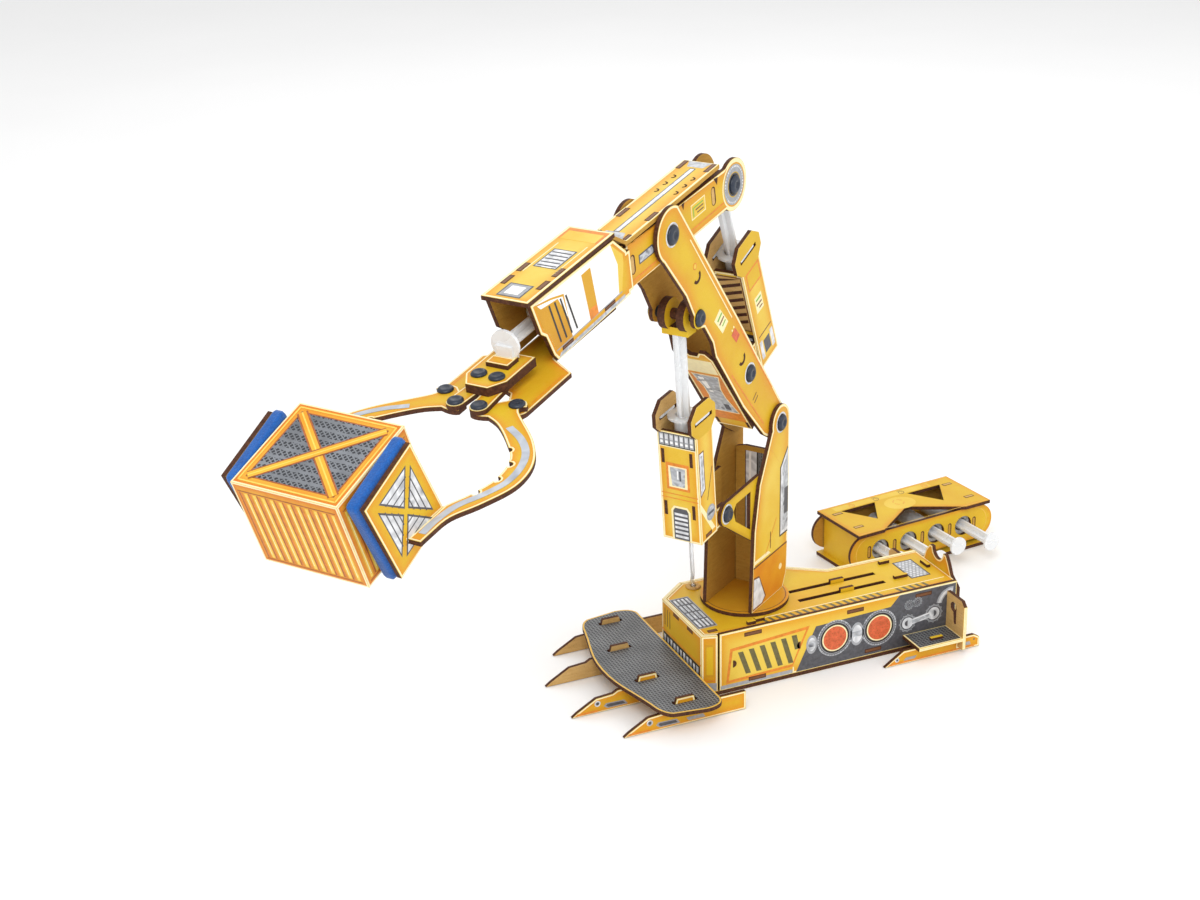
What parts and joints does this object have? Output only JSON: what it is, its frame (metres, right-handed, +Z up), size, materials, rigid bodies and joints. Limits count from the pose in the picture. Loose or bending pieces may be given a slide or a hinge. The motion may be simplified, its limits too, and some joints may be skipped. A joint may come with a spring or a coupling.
{
  "type": "hydraulic arm kit",
  "caption": "Press-out board robot arm on a turntable, worked by syringe cylinders from a lever console, with a two-claw gripper holding a crate.",
  "frame": {"origin": "on the ground under the turntable axis, on the underside of the base board", "axes": "+X along the base towards the front forks, +Y towards the side of the base with the wheel print, +Z up"},
  "size_m": [0.7468, 0.4947, 0.4193],
  "materials": {
    "printed_board": "satin printed board",
    "plain_board": "matt unprinted board",
    "tread_board": "satin printed board",
    "crate_board": "satin printed card",
    "clear_plastic": "clear",
    "white_plastic": "satin",
    "foam": "matt foam",
    "dark_pin": "matt"
  },
  "bodies": {
    "base": {"base_bottom": "plain_board", "base_deck": "printed_board", "side_panel_near": "printed_board", "side_panel_far": "printed_board", "front_panel": "printed_board", "rear_cradle": "printed_board", "rear_foot_near": "printed_board", "rear_foot_far": "printed_board", "fork_outer_near": "printed_board", "fork_inner_near": "printed_board", "fork_inner_far": "printed_board", "fork_outer_far": "printed_board", "front_tread_plate": "tread_board", "turntable_cylinder": "clear_plastic", "console_lid": "printed_board", "console_tray": "printed_board", "console_front_panel": "printed_board", "console_rear_panel": "printed_board", "master_barrel_1": "clear_plastic", "master_barrel_2": "clear_plastic", "master_barrel_3": "clear_plastic", "master_barrel_4": "clear_plastic"},
    "rack": {"turntable_rack": "printed_board"},
    "turntable": {"turntable_disc": "printed_board", "column_plate_near": "printed_board", "column_plate_far": "printed_board", "column_rear_wall": "plain_board", "column_bracket_near": "printed_board", "column_bracket_far": "printed_board", "shoulder_pin": "dark_pin", "front_cylinder_pin": "dark_pin", "hose": "clear_plastic"},
    "front_cylinder": {"front_cylinder_housing": "printed_board", "front_cylinder_barrel": "clear_plastic"},
    "front_piston": {"front_cylinder_plunger": "white_plastic"},
    "boom": {"boom_plate_near": "printed_board", "boom_plate_far": "printed_board", "boom_cover": "printed_board", "elbow_pin": "dark_pin", "rear_cylinder_pin": "dark_pin"},
    "rear_cylinder": {"rear_cylinder_housing": "printed_board", "rear_cylinder_barrel": "clear_plastic"},
    "rear_piston": {"rear_cylinder_plunger": "white_plastic"},
    "forearm": {"forearm_side_near": "printed_board", "forearm_side_far": "printed_board", "forearm_roof": "printed_board", "gripper_base_plate": "printed_board", "gripper_cylinder": "clear_plastic"},
    "gripper_piston": {"gripper_slider": "printed_board"},
    "link_near": {"link_near": "printed_board"},
    "link_far": {"link_far": "printed_board"},
    "claw_near": {"claw_near": "printed_board", "foam_pad_near": "foam"},
    "claw_far": {"claw_far": "printed_board", "foam_pad_far": "foam"},
    "crate": {"crate": "crate_board"},
    "master_1": {"master_plunger_1": "white_plastic"},
    "master_2": {"master_plunger_2": "white_plastic"},
    "master_3": {"master_plunger_3": "white_plastic"},
    "master_4": {"master_plunger_4": "white_plastic"}
  },
  "joints": [
    {"name": "turntable_yaw", "type": "hinge", "parent": "base", "child": "turntable", "pos_m": [0, 0, 0.0546], "axis": [0, 0, 1], "range_deg": [-95, 24]},
    {"name": "rack_slide", "type": "slide", "parent": "base", "child": "rack", "axis": [1, 0, 0], "range_m": [-0.009, 0.034]},
    {"name": "boom_pitch", "type": "hinge", "parent": "turntable", "child": "boom", "pos_m": [-0.01465, -0.01046, 0.1975], "axis": [-0.581, 0.8139, 0], "range_deg": [-14, 14]},
    {"name": "front_cylinder_tilt", "type": "hinge", "parent": "turntable", "child": "front_cylinder", "pos_m": [0.05168, 0.0369, 0.1523], "axis": [-0.581, 0.8139, 0], "range_deg": [-12, 12]},
    {"name": "front_piston_slide", "type": "slide", "parent": "front_cylinder", "child": "front_piston", "axis": [0.0752, 0.0537, 0.9957], "range_m": [-0.024, 0.024]},
    {"name": "forearm_pitch", "type": "hinge", "parent": "boom", "child": "forearm", "pos_m": [0.1157, 0.0826, 0.38881], "axis": [-0.581, 0.8139, 0], "range_deg": [-13, 13]},
    {"name": "rear_cylinder_tilt", "type": "hinge", "parent": "boom", "child": "rear_cylinder", "pos_m": [0.0226, 0.01614, 0.25217], "axis": [-0.581, 0.8139, 0], "range_deg": [-4, 4]},
    {"name": "rear_piston_slide", "type": "slide", "parent": "rear_cylinder", "child": "rear_piston", "axis": [0.3049, 0.2177, 0.9272], "range_m": [-0.024, 0.024]},
    {"name": "gripper_slide", "type": "slide", "parent": "forearm", "child": "gripper_piston", "axis": [0.8027, 0.573, -0.1652], "range_m": [0, 0.007]},
    {"name": "claw_near_swing", "type": "hinge", "parent": "forearm", "child": "claw_near", "pos_m": [0.26513, 0.22123, 0.33669], "axis": [0.1345, 0.096, 0.9863], "range_deg": [-0.5, 23.5]},
    {"name": "claw_far_swing", "type": "hinge", "parent": "forearm", "child": "claw_far", "pos_m": [0.29535, 0.1789, 0.33669], "axis": [0.1345, 0.096, 0.9863], "range_deg": [-23.5, 0.5]},
    {"name": "link_near_swing", "type": "hinge", "parent": "gripper_piston", "child": "link_near", "pos_m": [0.26884, 0.19991, 0.3413], "axis": [0.1345, 0.096, 0.9863], "range_deg": [-0.5, 14]},
    {"name": "link_far_swing", "type": "hinge", "parent": "gripper_piston", "child": "link_far", "pos_m": [0.27639, 0.18933, 0.3413], "axis": [0.1345, 0.096, 0.9863], "range_deg": [-14, 0.5]},
    {"name": "crate_slide", "type": "slide", "parent": "forearm", "child": "crate", "axis": [0.757, 0.5404, -0.3672], "range_m": [0, 0.07]},
    {"name": "master_1_slide", "type": "slide", "parent": "base", "child": "master_1", "axis": [-0.1088, 0.9941, 0], "range_m": [-0.034, 0.009]},
    {"name": "master_2_slide", "type": "slide", "parent": "base", "child": "master_2", "axis": [-0.1088, 0.9941, 0], "range_m": [-0.024, 0.024]},
    {"name": "master_3_slide", "type": "slide", "parent": "base", "child": "master_3", "axis": [-0.1088, 0.9941, 0], "range_m": [-0.024, 0.024]},
    {"name": "master_4_slide", "type": "slide", "parent": "base", "child": "master_4", "axis": [-0.1088, 0.9941, 0], "range_m": [-0.0075, 0.0005]}
  ],
  "couplings": [
    {"joint": "rack_slide", "follows": "turntable_yaw", "m_per_rad": -0.02},
    {"joint": "front_cylinder_tilt", "follows": "boom_pitch", "ratio": 0.77904},
    {"joint": "front_piston_slide", "follows": "boom_pitch", "m_per_rad": -0.09107},
    {"joint": "rear_cylinder_tilt", "follows": "forearm_pitch", "ratio": -0.17937},
    {"joint": "rear_piston_slide", "follows": "forearm_pitch", "m_per_rad": 0.09963},
    {"joint": "claw_near_swing", "follows": "gripper_slide", "rad_per_m": 57.143},
    {"joint": "claw_far_swing", "follows": "gripper_slide", "rad_per_m": -57.143},
    {"joint": "link_near_swing", "follows": "gripper_slide", "rad_per_m": 33.333},
    {"joint": "link_far_swing", "follows": "gripper_slide", "rad_per_m": -33.333},
    {"joint": "master_1_slide", "follows": "turntable_yaw", "m_per_rad": 0.02},
    {"joint": "master_2_slide", "follows": "boom_pitch", "m_per_rad": 0.09107},
    {"joint": "master_3_slide", "follows": "forearm_pitch", "m_per_rad": -0.09963},
    {"joint": "master_4_slide", "follows": "gripper_slide", "ratio": -1}
  ]
}
